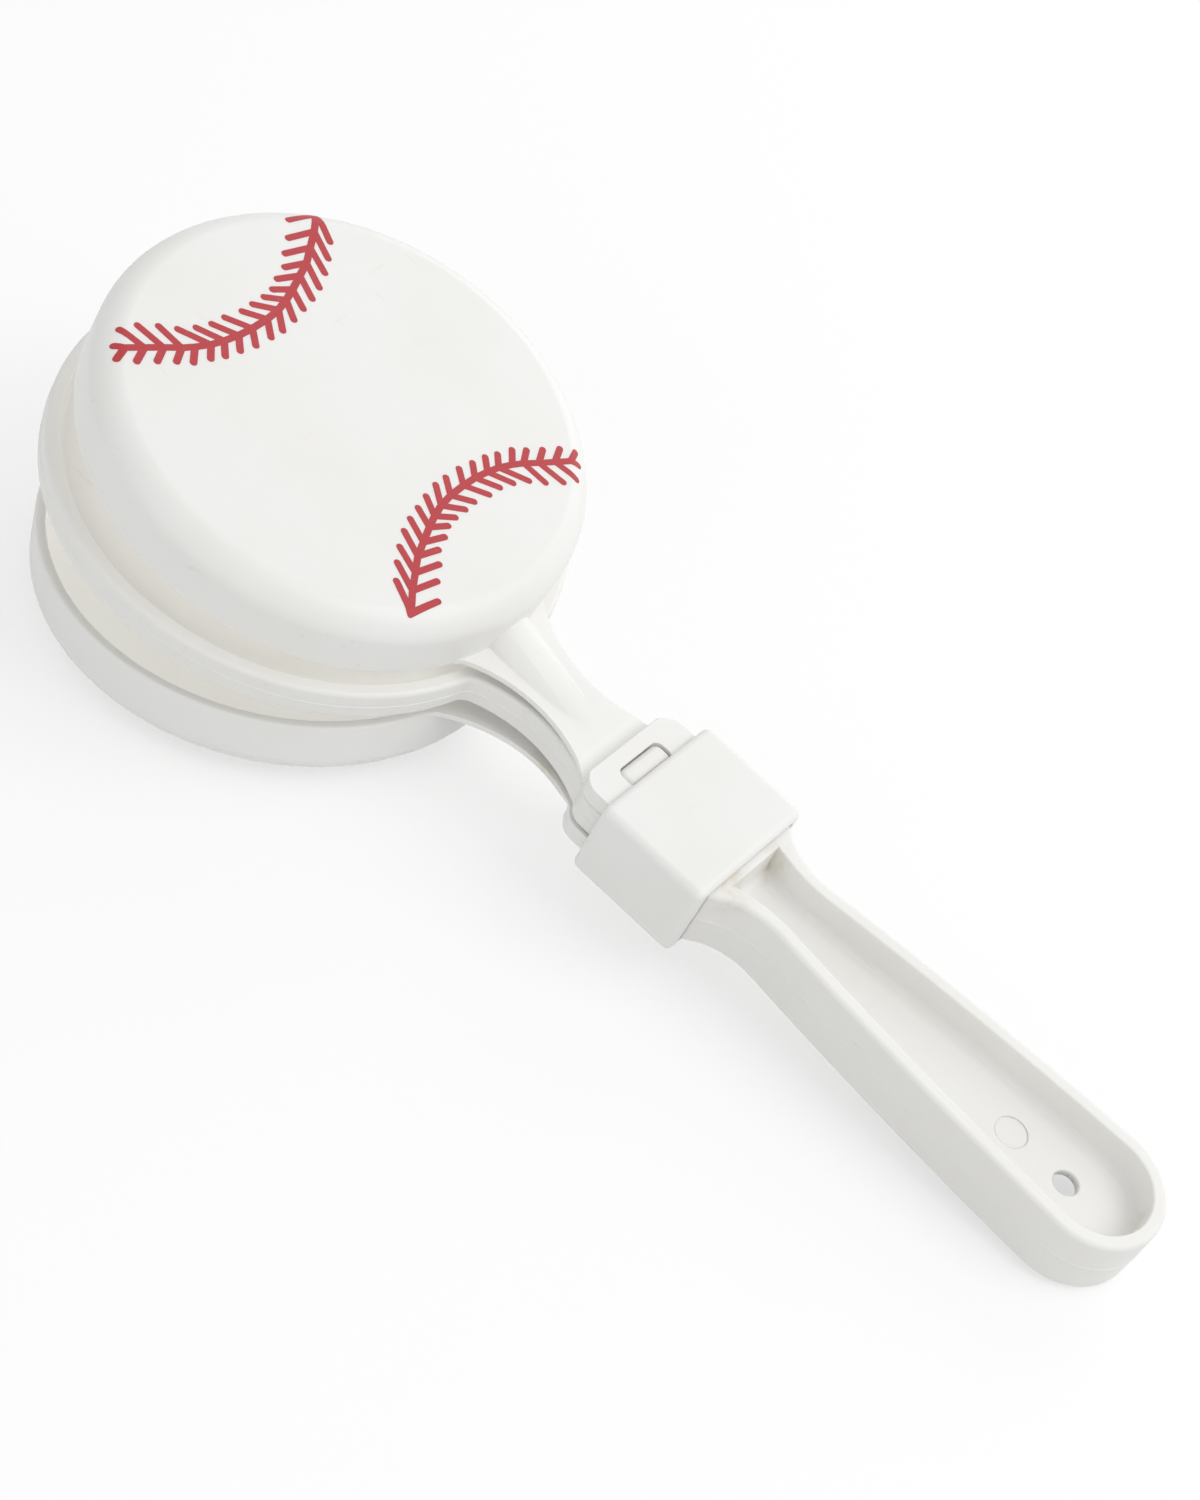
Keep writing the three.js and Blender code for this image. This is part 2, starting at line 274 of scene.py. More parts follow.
class Work:
    """A solid on the bench."""

    def __init__(self, thing: bpy.types.Object) -> None:
        """Takes an object as it is."""
        self.thing = thing

    @classmethod
    def add(cls, primitive: Callable[..., Any], **settings: Any) -> "Work":
        """Adds a primitive at its size and place.

        Args:
            primitive: The operator that adds it.
            **settings: The operator's own settings.

        Returns:
            The new solid, with its place in its mesh.
        """
        put_down()
        primitive(**settings)
        bpy.ops.object.transform_apply(location=True, rotation=True, scale=True)
        return cls(bpy.context.object)

    @classmethod
    def box(cls, low: Sequence[float], high: Sequence[float]) -> "Work":
        """Adds a block between two corners.

        Args:
            low: Its lowest corner.
            high: Its highest corner.

        Returns:
            The block.
        """
        middle = [(a + b) / 2 for a, b in zip(low, high)]
        span = [b - a for a, b in zip(low, high)]
        return cls.add(bpy.ops.mesh.primitive_cube_add, size=1, location=middle, scale=span)

    @classmethod
    def bar(
        cls, place: Sequence[float], radius: float, length: float, sides: int, lean: float = 0
    ) -> "Work":
        """Adds a round bar about a place, upright or leant towards +X by an angle in radians."""
        settings = {"vertices": sides, "radius": radius, "depth": length, "rotation": (0, lean, 0)}
        return cls.add(bpy.ops.mesh.primitive_cylinder_add, location=place, **settings)

    @classmethod
    def circle(cls, x: float, radius: float, sides: int) -> "Work":
        """Adds a flat round face about a place on the X axis."""
        settings = {"vertices": sides, "radius": radius, "fill_type": "NGON"}
        return cls.add(bpy.ops.mesh.primitive_circle_add, location=(x, 0, 0), **settings)

    def hold(self) -> None:
        """Makes this the only thing that is selected."""
        put_down()
        self.thing.select_set(True)
        bpy.context.view_layer.objects.active = self.thing

    @contextmanager
    def editing(self) -> Iterator[None]:
        """Goes into edit mode for the length of a with block."""
        self.hold()
        bpy.ops.object.mode_set(mode="EDIT")
        bpy.ops.mesh.select_mode(type="FACE")
        yield
        bpy.ops.object.mode_set(mode="OBJECT")

    def pick(self, kind: Kind, wanted: Test) -> None:
        """Selects in edit mode what passes a test, and nothing else.

        Args:
            kind: Whether vertices, edges or faces are tested.
            wanted: The test.
        """
        bpy.ops.mesh.select_mode(type=kind.name)
        bpy.ops.mesh.select_all(action="DESELECT")
        mesh = bmesh.from_edit_mesh(self.thing.data)
        for part in filter(wanted, getattr(mesh, kind.value)):
            part.select_set(True)
        mesh.select_flush(True)
        bmesh.update_edit_mesh(self.thing.data)

    def grow(self, rings: Rings, sense: int = 1) -> None:
        """Carries the picked face through rings.

        Args:
            rings: Inset and height of each ring, counted from the picked face.
            sense: 1 to go up and -1 to go down.
        """
        inset, height = 0.0, 0.0
        for next_inset, next_height in rings:
            rise = sense * (next_height - height)
            if next_inset - inset < 1e-5:
                bpy.ops.mesh.extrude_region_move(TRANSFORM_OT_translate={"value": (0, 0, rise)})
            else:
                step = next_inset - inset
                bpy.ops.mesh.inset(thickness=step, depth=rise, use_even_offset=True, use_boundary=True)
            inset, height = next_inset, next_height

    def soften(self, wanted: Test, radius: float, steps: int, profile: float = 0.5) -> None:
        """Rounds edges.

        Args:
            wanted: The test that they pass.
            radius: Radius of the round.
            steps: Faces over the round.
            profile: Under one half for a round that is flatter than a circle.
        """
        with self.editing():
            self.pick(Kind.EDGE, wanted)
            bpy.ops.mesh.bevel(
                offset=radius, segments=steps, profile=profile, affect="EDGES", clamp_overlap=True
            )

    def modify(self, kind: str, **settings: Any) -> None:
        """Adds a modifier with its settings and applies it.

        Args:
            kind: Its type.
            **settings: Its settings, by their own names.
        """
        self.hold()
        bpy.ops.object.modifier_add(type=kind)
        modifier = self.thing.modifiers[-1]
        for name, value in settings.items():
            setattr(modifier, name, value)
        bpy.ops.object.modifier_apply(modifier=modifier.name)

    def combine(self, other: "Work", how: Mix, tangled: bool = False) -> None:
        """Joins, cuts or crosses this solid with another one, which is used up.

        Args:
            other: The other solid.
            how: What becomes of the two.
            tangled: Whether the pieces of either solid run through each other.
        """
        settings = {"operation": how.value, "solver": "EXACT", "use_self": tangled}
        self.modify("BOOLEAN", object=other.thing, **settings)
        bpy.data.objects.remove(other.thing)

    def gather(self, others: Sequence["Work"]) -> None:
        """Makes one mesh of this and others, which become loose parts of it.

        Args:
            others: The other solids, which are used up.
        """
        self.hold()
        for other in others:
            other.thing.select_set(True)
        bpy.ops.object.join()

    def copy(self) -> "Work":
        """A copy of this solid with its own mesh.

        Returns:
            The copy, in the same place.
        """
        self.hold()
        bpy.ops.object.duplicate()
        return Work(bpy.context.object)

    def mirror_below(self) -> None:
        """Adds the half under the plane z = 0."""
        self.modify("MIRROR", use_axis=(False, False, True), merge_threshold=MERGE)
        self.face_outwards()

    def face_outwards(self) -> None:
        """Merges what is double and turns every face outwards."""
        with self.editing():
            take_all()
            bpy.ops.mesh.remove_doubles(threshold=0.0005)
            take_all()
            bpy.ops.mesh.normals_make_consistent(inside=False)

    def turn(self, degrees: float, axis: str, centre: Sequence[float] = (0, 0, 0)) -> None:
        """Turns the whole solid by the right-hand rule.

        Args:
            degrees: The angle.
            axis: Name of the axis.
            centre: A point on it.
        """
        about = Matrix.Translation(centre)
        turned = about @ Matrix.Rotation(math.radians(degrees), 4, axis) @ about.inverted()
        self.settle(turned)

    def settle(self, place: Matrix) -> None:
        """Moves the solid by a matrix, which goes into its mesh.

        Args:
            place: The matrix.
        """
        self.hold()
        self.thing.matrix_world = place @ self.thing.matrix_world
        bpy.ops.object.transform_apply(location=True, rotation=True, scale=True)

    def finish(self, name: str, place: Matrix, crease: float = 31.0) -> bpy.types.Object:
        """Names the solid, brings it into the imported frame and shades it.

        Args:
            name: Name of the finished piece.
            place: The paddle's frame in millimetres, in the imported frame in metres.
            crease: Angle in degrees past which an edge stays sharp.

        Returns:
            The finished piece.
        """
        self.settle(place)
        self.hold()
        bpy.ops.object.shade_smooth_by_angle(angle=math.radians(crease))
        self.modify("WEIGHTED_NORMAL", keep_sharp=True, weight=50)
        self.thing.name = name
        mesh = self.thing.data
        mesh.name = name
        rest = mesh.attributes.new(REST_PLACE, "FLOAT_VECTOR", "POINT")
        rest.data.foreach_set("vector", [number for vertex in mesh.vertices for number in vertex.co])
        return self.thing


class Pen:
    """Draws an outline on the plane z = 0 with one vertex that is pulled and spun along."""

    def __init__(self, x: float, y: float) -> None:
        """Sets the pen down.

        Args:
            x: Where, along X.
            y: Where, along Y.
        """
        self.work = Work.add(bpy.ops.mesh.primitive_plane_add, size=1, location=(x, y, 0))
        self.work.hold()
        bpy.ops.object.mode_set(mode="EDIT")
        bpy.ops.mesh.select_mode(type="VERT")
        bpy.ops.mesh.merge(type="CENTER")
        self.at = Vector((x, y))

    def line(self, x: float, y: float) -> None:
        """Pulls the pen straight to a place.

        Args:
            x: Where, along X.
            y: Where, along Y.
        """
        step = Vector((x, y)) - self.at
        bpy.ops.mesh.extrude_region_move(TRANSFORM_OT_translate={"value": (step.x, step.y, 0)})
        self.at = Vector((x, y))

    def arc(self, centre: Vector, sweep: float, step: float = 4.0) -> None:
        """Spins the pen about a centre.

        Args:
            centre: Centre of the arc.
            sweep: Angle in degrees, anticlockwise where it is positive.
            step: Angle in degrees between its points.
        """
        turn = math.radians(sweep)
        steps = max(2, round(abs(sweep) / step))
        bpy.ops.mesh.spin(steps=steps, angle=-turn, center=(centre.x, centre.y, 0), axis=(0, 0, 1))
        self.at = centre + Matrix.Rotation(turn, 2) @ (self.at - centre)

    def close(self, symmetric: bool) -> Work:
        """Fills the outline.

        Args:
            symmetric: Whether the other half, under y = 0, is still to be added.

        Returns:
            The flat face, looking up.
        """
        take_all()
        if symmetric:
            bpy.ops.mesh.duplicate_move()
            bpy.ops.transform.resize(value=(1, -1, 1), center_override=(0, 0, 0))
            take_all()
        bpy.ops.mesh.remove_doubles(threshold=MERGE)
        take_all()
        bpy.ops.mesh.edge_face_add()
        shape = bmesh.from_edit_mesh(self.work.thing.data)
        shape.faces.ensure_lookup_table()
        if shape.faces[0].normal.z < 0:
            bpy.ops.mesh.flip_normals()
        bpy.ops.object.mode_set(mode="OBJECT")
        return self.work


def raised(face: Work, rings: Rings, sense: int = 1, start: float = 0.0) -> Work:
    """Makes a solid or a shell of a drawn face.

    Args:
        face: The flat face.
        rings: Inset and height of each ring over the face.
        sense: 1 to go up and -1 to go down.
        start: Height of the plane that the face is first moved to.

    Returns:
        The same work, grown.
    """
    with face.editing():
        take_all()
        bpy.ops.transform.translate(value=(0, 0, start))
        face.grow(rings, sense)
    return face


def hollow_cutter(face: Work, top: float, mouth: float, rest: Rings, sense: int) -> Work:
    """Makes the cutter for a hollow whose mouth is rounded.

    Args:
        face: The outline of the mouth where it is widest.
        top: Height of the surface that is cut into.
        mouth: Radius of the round of the mouth.
        rest: Rings of the hollow past its mouth, as inset and depth under the cutter's cap.
        sense: 1 on the upper face of the paddle and -1 on the lower.

    Returns:
        The cutter.
    """
    cutter = raised(face, opened_mouth(mouth) + rest, -sense, sense * (top + CAP))
    cutter.face_outwards()
    return cutter


# What the paddle and the clappers share


def slot_block(gap: float, bottom: float, top: float) -> Work:
    """Adds an upright block in the shape of a tab's slot.

    Args:
        gap: How far it stays clear of the slot's edge.
        bottom: Height of its lower face.
        top: Height of its upper face.

    Returns:
        The block.
    """
    size = LAYOUT
    half_x, half_y = size.slot_half_width - gap, size.slot_half_length - gap
    block = Work.box((size.slot_x - half_x, -half_y, bottom), (size.slot_x + half_x, half_y, top))
    upright = spans(axis=2, least=0.5 * (top - bottom))
    block.soften(upright, size.slot_corner_radius - gap, steps=6)
    return block


def root_and_neck(rear: float, disc_radius: float) -> tuple[Pen, float]:
    """Starts an outline with the side of a root plate or tab and of its neck, up to a disc.

    Args:
        rear: X of the plate's rear edge.
        disc_radius: Radius of the disc or cup that the neck runs into.

    Returns:
        The pen, and the angle in degrees at which the outline meets the disc.
    """
    size = LAYOUT
    radius = size.tab_corner_radius
    disc, flare = Vector((size.disc_x, 0)), size.flare_centre
    corner = Vector((size.tab_front + radius, size.tab_half_width - radius))
    kink = circles_meet(flare, size.neck_flare_radius, corner, radius)
    reach = size.neck_flare_radius - size.neck_fillet_radius
    fillet = circles_meet(disc, disc_radius + size.neck_fillet_radius, flare, reach)
    pen = Pen(rear, 0)
    pen.line(rear, size.tab_half_width)
    pen.line(corner.x, size.tab_half_width)
    pen.arc(corner, angle_from(corner, kink) - 90, step=9)
    towards_neck = angle_from(flare, fillet)
    pen.arc(flare, towards_neck - angle_from(flare, kink), step=3)
    turn = (angle_from(fillet, disc) - towards_neck) % 360
    pen.arc(fillet, turn - 360 if turn > 180 else turn, step=10)
    return pen, angle_from(disc, pen.at)


@dataclass
class Paddle:
    """The centre paddle: disc, neck and root plate, with the handle moulded on."""

    web_half: float = 1.3
    stud_gap: float = 0.1
    edge_radius: float = 0.8
    mouth_radius: float = 0.35
    floor_fillet: float = 0.9
    handle_half: float = 6.0
    handle_length: float = 80.5
    end_radius: float = 11.4
    waist: float = 7.0
    waist_from_collar: float = 9.6
    flare_radius: float = 13.3
    side_radius: float = 700.0
    handle_rim: float = 2.45
    recess_from_collar: float = 1.8
    recess_flare: float = 26.0
    front_lean: float = 0.5
    recess_mouth: float = 0.3
    recess_fillet: float = 1.3
    corner_clear: float = 2.4
    handle_web_half: float = 0.8
    hole_radius: float = 2.1
    hole_mouth: float = 0.4
    hole_from_end: float = 14.6
    mark_radius: float = 2.8
    mark_depth: float = 0.28
    mark_groove: float = 0.2
    mark_from_end: float = 25.3
    mark_pad: float = 0.11
    bead: Point = (0.1, 0.09)
    root_overlap: float = 1.3
    hole_overlap: float = 0.1
    stud_edge: float = 0.3
    disc_draft: float = 0.13
    hollow_draft: float = 0.05
    handle_draft: float = 0.16
    recess_draft: float = 0.55

    @property
    def handle_end(self) -> float:
        """X of the far end of the handle."""
        return LAYOUT.collar_rear + self.handle_length

    def build(self) -> Work:
        """Models the whole moulding.

        Returns:
            The paddle, in millimetres in its own frame.
        """
        paddle = self.head()
        paddle.combine(self.handle(), Mix.JOIN)
        return paddle

    def head(self) -> Work:
        """The disc, neck, root plate and studs.

        Returns:
            All of the paddle but its handle.
        """
        size = LAYOUT
        pen, meets = root_and_neck(size.tab_rear + self.root_overlap, size.disc_outer)
        pen.arc(Vector((size.disc_x, 0)), 180 - meets, step=2.25)
        rings = [self.bead] + rounded(self.disc_draft, size.disc_rim_half, self.edge_radius, steps=4)
        head = raised(pen.close(symmetric=True), rings)
        head.mirror_below()
        for sense in (1, -1):
            circle = Work.circle(size.disc_x, size.disc_inner + self.mouth_radius, size.cup_sides)
            depth = CAP + size.disc_rim_half - self.web_half
            floor = rounded(self.mouth_radius + self.hollow_draft, depth, self.floor_fillet, steps=5)
            cutter = hollow_cutter(circle, size.disc_rim_half, self.mouth_radius, floor, sense)
            head.combine(cutter, Mix.CUT)
        stud = slot_block(self.stud_gap, -size.tab_top, size.tab_top)
        stud.soften(ends(lambda p: abs(abs(p.z) - size.tab_top) < TOUCH), self.stud_edge, steps=3)
        head.combine(stud, Mix.JOIN)
        return head

    def handle_outline(self, inset: float, flare_radius: float, front: Point) -> Work:
        """Draws the handle or its recess.

        Args:
            inset: How far the outline lies inside the handle's own.
            flare_radius: Radius of the flare towards the collar.
            front: X and half width of the front edge, or X and nothing to end on the flare.

        Returns:
            The flat face.
        """
        end = Vector((self.handle_end - self.end_radius, 0))
        end_radius = self.end_radius - inset
        side_radius = self.side_radius - inset
        waist_x = LAYOUT.collar_rear + self.waist_from_collar
        flare = Vector((waist_x, self.waist - inset + flare_radius))
        side = circles_meet(flare, side_radius + flare_radius, end, side_radius - end_radius)
        at_end, at_flare = angle_from(side, end), angle_from(side, flare)
        pen = Pen(end.x + end_radius, 0)
        pen.arc(end, at_end, step=3)
        pen.arc(side, at_flare - at_end, step=0.5)
        front_x, front_y = front
        if front_y:
            rise = flare.y - front_y
            reach = flare.x - math.sqrt(flare_radius**2 - rise**2)
        else:
            reach = front_x
        stop, last = (math.acos((flare.x - x) / flare_radius) for x in (reach + self.corner_clear, reach))
        pen.arc(flare, math.degrees(stop) - at_flare, step=3)
        pen.line(reach, flare.y - flare_radius * math.sin(last))
        if front_y:
            pen.line(front_x, front_y)
        pen.line(front_x, 0)
        return pen.close(symmetric=True)

    def handle(self) -> Work:
        """The handle: a rim round a thin web, solid in the mouth of the collar.

        Returns:
            The handle.
        """
        size = LAYOUT
        front = size.tab_rear + size.seat_gap
        outline = self.handle_outline(0, self.flare_radius, (front, size.tab_half_width))
        rings = [self.bead] + rounded(self.handle_draft, self.handle_half, self.edge_radius, steps=4)
        handle = raised(outline, rings)
        handle.mirror_below()
        for sense in (1, -1):
            handle.combine(self.recess(sense), Mix.CUT)
            handle.combine(self.hole(sense), Mix.CUT)
        mark_x = self.handle_end - self.mark_from_end
        floor = self.handle_web_half - self.mark_depth
        tall, sides = 4.0, 64
        mark = Work.bar((mark_x, 0, floor + tall / 2), self.mark_radius, tall, sides)
        handle.combine(mark, Mix.CUT)
        radius, thick = self.mark_radius - self.mark_groove, floor + 2 * self.mark_pad
        handle.combine(Work.bar((mark_x, 0, floor / 2), radius, thick, sides), Mix.JOIN)
        return handle

    def hole(self, sense: int) -> Work:
        """The cutter for the hole, from one side to past the middle of the web.

        Args:
            sense: 1 for the upper side and -1 for the lower.

        Returns:
            The cutter.
        """
        mouth = self.hole_mouth
        circle = Work.circle(self.handle_end - self.hole_from_end, self.hole_radius + mouth, sides=48)
        rest = [(mouth, CAP + self.handle_web_half + self.hole_overlap)]
        return hollow_cutter(circle, self.handle_web_half, mouth, rest, sense)

    def recess(self, sense: int) -> Work:
        """The cutter for the recess on one face of the handle.

        Args:
            sense: 1 for the upper face and -1 for the lower.

        Returns:
            The cutter.
        """
        mouth = self.recess_mouth
        front = (LAYOUT.collar_rear + self.recess_from_collar - mouth - self.front_lean, 0.0)
        face = self.handle_outline(self.handle_rim - mouth, self.recess_flare, front)
        depth = CAP + self.handle_half - self.handle_web_half
        floor = rounded(self.recess_draft, depth, self.recess_fillet, steps=5)
        return hollow_cutter(face, self.handle_half, mouth, floor, sense)


@dataclass
class Collar:
    """The square sleeve over the tabs and the root of the paddle."""

    wall: float = 1.2
    side_wall: float = 2.2
    edge_radius: float = 1.3
    mouth_radius: float = 1.0
    mouth_profile: float = 0.42
    front_radius: float = 0.15
    opening_radius: float = 0.4

    def build(self) -> Work:
        """Models the sleeve, sharp towards the cups and round towards the handle.

        Returns:
            The sleeve, in millimetres in the paddle's frame.
        """
        size = LAYOUT
        inner_y = size.tab_half_width + size.seat_gap
        inner_z = size.tab_top + size.seat_gap
        outer_y, outer_z = inner_y + self.side_wall, inner_z + self.wall
        front, rear = size.collar_front, size.collar_rear
        sleeve = Work.box((front, -outer_y, -outer_z), (rear, outer_y, outer_z))
        lengthwise = spans(axis=0, least=1)
        sleeve.soften(lengthwise, self.edge_radius, steps=6)
        at_rear = ends(lambda p: abs(p.x - rear) < TOUCH)
        sleeve.soften(at_rear, self.mouth_radius, steps=5, profile=self.mouth_profile)
        sleeve.soften(ends(lambda p: abs(p.x - front) < TOUCH), self.front_radius, steps=2)
        opening = Work.box((front - CAP, -inner_y, -inner_z), (rear + CAP, inner_y, inner_z))
        opening.soften(lengthwise, self.opening_radius, steps=3)
        sleeve.combine(opening, Mix.CUT)
        return sleeve


@dataclass
class Clapper:
    """One clapper: cup, neck plate with its rib, hinge web and locking tab."""

    side: Side
    opening: float
    edge_radius: float = 4.5
    edge_profile: float = 0.45
    lip_radius: float = 0.5
    rib_radius: float = 4.4
    rib_slope: float = 11.0
    rib_tip_from_end: float = 3.6
    rib_root: float = 0.5
    rib_room: float = 6.0
    plate_radius: float = 0.28
    step_radius: float = 0.35
    web_margin: float = 0.1
    ramp_overrun: float = 1.0
    neck_overlap: float = 4.0
    rows: int = 8

    def build(self) -> Work:
        """Models the moulding closed, then bends it open at its web.

        Returns:
            The clapper at rest, in millimetres in the paddle's frame.
        """
        blade = self.blade()
        blade.combine(self.rib(), Mix.JOIN)
        blade.combine(self.cup(), Mix.JOIN)
        self.bend(blade)
        if self.side is Side.LOWER:
            blade.turn(180, "X")
        return blade

    def pose(self) -> Matrix:
        """Where the closed upper cup's frame is at rest, in the paddle's frame.

        Returns:
            The turn about the hinge, for the lower clapper turned over.
        """
        hinge = Matrix.Translation((LAYOUT.hinge_x, 0, LAYOUT.hinge_z))
        opened = hinge @ Matrix.Rotation(math.radians(self.opening), 4, "Y") @ hinge.inverted()
        return opened if self.side is Side.UPPER else Matrix.Rotation(math.pi, 4, "X") @ opened

    def cup_blank(self, proud: float = 0.0) -> Work:
        """The outside of the cup as a solid, a little larger where asked.

        Args:
            proud: How much larger, all round.

        Returns:
            The solid, closed on the paddle.
        """
        size = LAYOUT
        depth = size.cup_depth + proud
        place = (size.disc_x, 0, size.tab_bottom + depth / 2)
        blank = Work.bar(place, size.cup_radius + proud, depth, size.cup_sides)
        at_top = ends(lambda p: p.z > size.tab_bottom + depth - TOUCH)
        blank.soften(at_top, self.edge_radius + proud, steps=9, profile=self.edge_profile)
        return blank

    def cup(self) -> Work:
        """The hollow cup.

        Returns:
            The cup, closed on the paddle.
        """
        size = LAYOUT
        cup = self.cup_blank()
        with cup.editing():
            cup.pick(Kind.FACE, lambda f: f.normal.z < -0.9)
            bpy.ops.mesh.inset(thickness=size.cup_wall, depth=0, use_even_offset=True)
            rise = (0, 0, size.cup_roof - size.tab_bottom)
            bpy.ops.mesh.extrude_region_move(TRANSFORM_OT_translate={"value": rise})

        def in_corner(p: Vector) -> bool:
            """Whether a place is where the inner wall meets the roof."""
            at_wall = abs(math.hypot(p.x - size.disc_x, p.y) - size.cup_inner) < 0.05
            return at_wall and abs(p.z - size.cup_roof) < TOUCH

        cup.soften(ends(in_corner), self.edge_radius - size.cup_wall, steps=6)
        cup.soften(ends(lambda p: abs(p.z - size.tab_bottom) < TOUCH), self.lip_radius, steps=3)
        return cup

    def blade(self) -> Work:
        """The neck plate, web and tab: their side profile, cut to their plan.

        Returns:
            The blade, closed on the paddle.
        """
        size = LAYOUT
        low, round_off = size.tab_bottom, self.step_radius
        plate, web = low + size.neck_thickness, low + size.web_thickness
        pen = Pen(size.tab_rear, low)
        pen.line(size.tab_rear, size.tab_top)
        pen.line(size.tab_front + round_off, size.tab_top)
        pen.arc(Vector((size.tab_front + round_off, size.tab_top - round_off)), 90, step=22.5)
        pen.line(size.tab_front, web + round_off)
        pen.arc(Vector((size.tab_front - round_off, web + round_off)), -90, step=22.5)
        start = size.hinge_x + self.web_margin
        pen.line(start, web)
        for k in range(1, self.rows + 1):
            share = k / self.rows
            x = start - (size.web_span + self.ramp_overrun) * share
            pen.line(x, web + (plate - web) * (1 - math.cos(math.pi * share)) / 2)
        far = size.disc_x + size.cup_radius - self.neck_overlap
        pen.line(far, plate)
        pen.line(far, low)
        profile = pen.close(symmetric=False)
        profile.turn(90, "X")
        blade = raised_sideways(profile, size.tab_half_width + CAP)
        blade.combine(self.plan(), Mix.COMMON)
        blade.combine(slot_block(0, low - CAP, size.tab_top + CAP), Mix.CUT)
        blade.soften(self.is_top_edge, self.plate_radius, steps=3)
        return blade

    def is_top_edge(self, edge: Any) -> bool:
        """Whether an edge runs along the top of the outline, clear of the cup, slot and rear.

        Args:
            edge: The edge.

        Returns:
            True where it does.
        """
        size = LAYOUT
        if len(edge.link_faces) != 2:
            return False
        room = 0.1
        middle = (edge.verts[0].co + edge.verts[1].co) / 2
        normals = [face.normal for face in edge.link_faces]
        of_top = max(n.z for n in normals) > 0.7
        of_side = min(abs(n.z) for n in normals) < 0.3 and max(abs(n.y) for n in normals) > 0.05
        by_slot = abs(middle.y) <= size.slot_half_length + room and middle.x >= size.tab_front - room
        by_cup = math.hypot(middle.x - size.disc_x, middle.y) <= size.cup_radius + 3 * room
        by_rear = middle.x >= size.tab_rear - room
        return of_top and of_side and not (by_slot or by_cup or by_rear)

    def plan(self) -> Work:
        """The outline of the blade in plan, as a tall solid.

        Returns:
            The solid.
        """
        size = LAYOUT
        disc = Vector((size.disc_x, 0))
        pen, meets = root_and_neck(size.tab_rear, size.cup_radius)
        step = Vector((math.cos(math.radians(meets)), math.sin(math.radians(meets))))
        inside = disc + (size.cup_radius - size.cup_wall / 2) * step
        pen.line(inside.x, inside.y)
        pen.arc(disc, -meets, step=3)
        bottom, height = 1.0, 8.0
        plan = raised(pen.close(symmetric=True), [(0, height)], start=bottom)
        plan.face_outwards()
        return plan

    def rib(self) -> Work:
        """The rib on the neck plate: the top of a round bar that rises towards the cup.

        Returns:
            The rib, from the hinge's end of the neck into the wall of the cup.
        """
        size = LAYOUT
        slope = math.radians(self.rib_slope)
        tip = size.neck_end - self.rib_tip_from_end
        top = size.tab_bottom + size.neck_thickness
        place = (tip - self.rib_radius * math.sin(slope), 0, top - self.rib_radius * math.cos(slope))
        length, lean = 2 * size.neck_length, math.pi / 2 + slope
        bar = Work.bar(place, self.rib_radius, length, sides=128, lean=lean)
        near = (size.disc_x + size.cup_radius - size.cup_wall / 2, -self.rib_radius, top - self.rib_root)
        kept = Work.box(near, (size.neck_end, self.rib_radius, top + self.rib_room))
        bar.combine(kept, Mix.COMMON)
        return bar

    def bend(self, blade: Work) -> None:
        """Cuts the web into rows and turns them one after the other.

        Args:
            blade: The closed clapper.
        """
        size = LAYOUT
        first, last = size.neck_end + self.web_margin, size.tab_front - self.web_margin
        pitch = (last - first) / self.rows
        with blade.editing():
            for k in range(self.rows + 1):
                take_all()
                bpy.ops.mesh.bisect(plane_co=(first + k * pitch, 0, 0), plane_no=(1, 0, 0))
        share = self.opening / self.rows
        for k in range(self.rows):
            pivot = Vector((first + (k + 0.5) * pitch, 0, size.hinge_z))
            settings = {"orient_axis": "Y", "orient_type": "GLOBAL", "center_override": pivot}
            with blade.editing():
                blade.pick(Kind.VERT, lambda v: v.co.x < pivot.x)
                bpy.ops.transform.rotate(value=-math.radians(share), **settings)


def raised_sideways(profile: Work, half_width: float) -> Work:
    """Makes a solid of a face that stands on the plane y = 0, equally to both sides.

    Args:
        profile: The flat face.
        half_width: How far the solid goes to each side.

    Returns:
        The same work, grown.
    """
    with profile.editing():
        take_all()
        bpy.ops.transform.translate(value=(0, -half_width, 0))
        bpy.ops.mesh.extrude_region_move(TRANSFORM_OT_translate={"value": (0, 2 * half_width, 0)})
    profile.face_outwards()
    return profile


@dataclass(frozen=True)
class Stitch:
    """One printed stitch: where its legs meet, and each leg's direction and length.

    Places are in millimetres from the middle of the face, and directions in degrees.
    """

    meets: Point
    inner: Point
    outer: Optional[Point]


STITCHES = (
    Stitch((31.4, -19.8), (158, 5.6), (80, 5.2)),
    Stitch((28.8, -16.8), (161, 5.1), (79, 4.8)),
    Stitch((26.8, -14.0), (164, 4.8), (78, 4.6)),
    Stitch((24.9, -11.4), (161, 4.6), (76, 3.9)),
    Stitch((23.6, -8.7), (162, 4.3), (73, 3.9)),
    Stitch((22.2, -5.8), (163, 3.6), (64, 3.2)),
    Stitch((21.2, -3.5), (155, 3.6), (55, 3.4)),
    Stitch((20.4, -1.1), (146, 3.8), (49, 3.9)),
    Stitch((19.9, 1.7), (146, 3.3), (42, 3.8)),
    Stitch((19.7, 5.0), (146, 3.1), (36, 4.2)),
    Stitch((19.7, 7.8), (141, 2.8), (34, 4.1)),
    Stitch((20.0, 10.5), (140, 2.8), (31, 4.3)),
    Stitch((20.4, 12.8), (136, 2.6), (31, 5.1)),
    Stitch((21.2, 15.3), (133, 2.9), None),
    Stitch((22.0, 17.2), (122, 2.8), (6, 4.5)),
    Stitch((23.3, 19.6), (119, 2.9), (10, 4.8)),
    Stitch((24.6, 22.2), (116, 3.0), (13, 4.3)),
    Stitch((25.9, 24.8), (110, 2.4), (39, 1.5)),
)


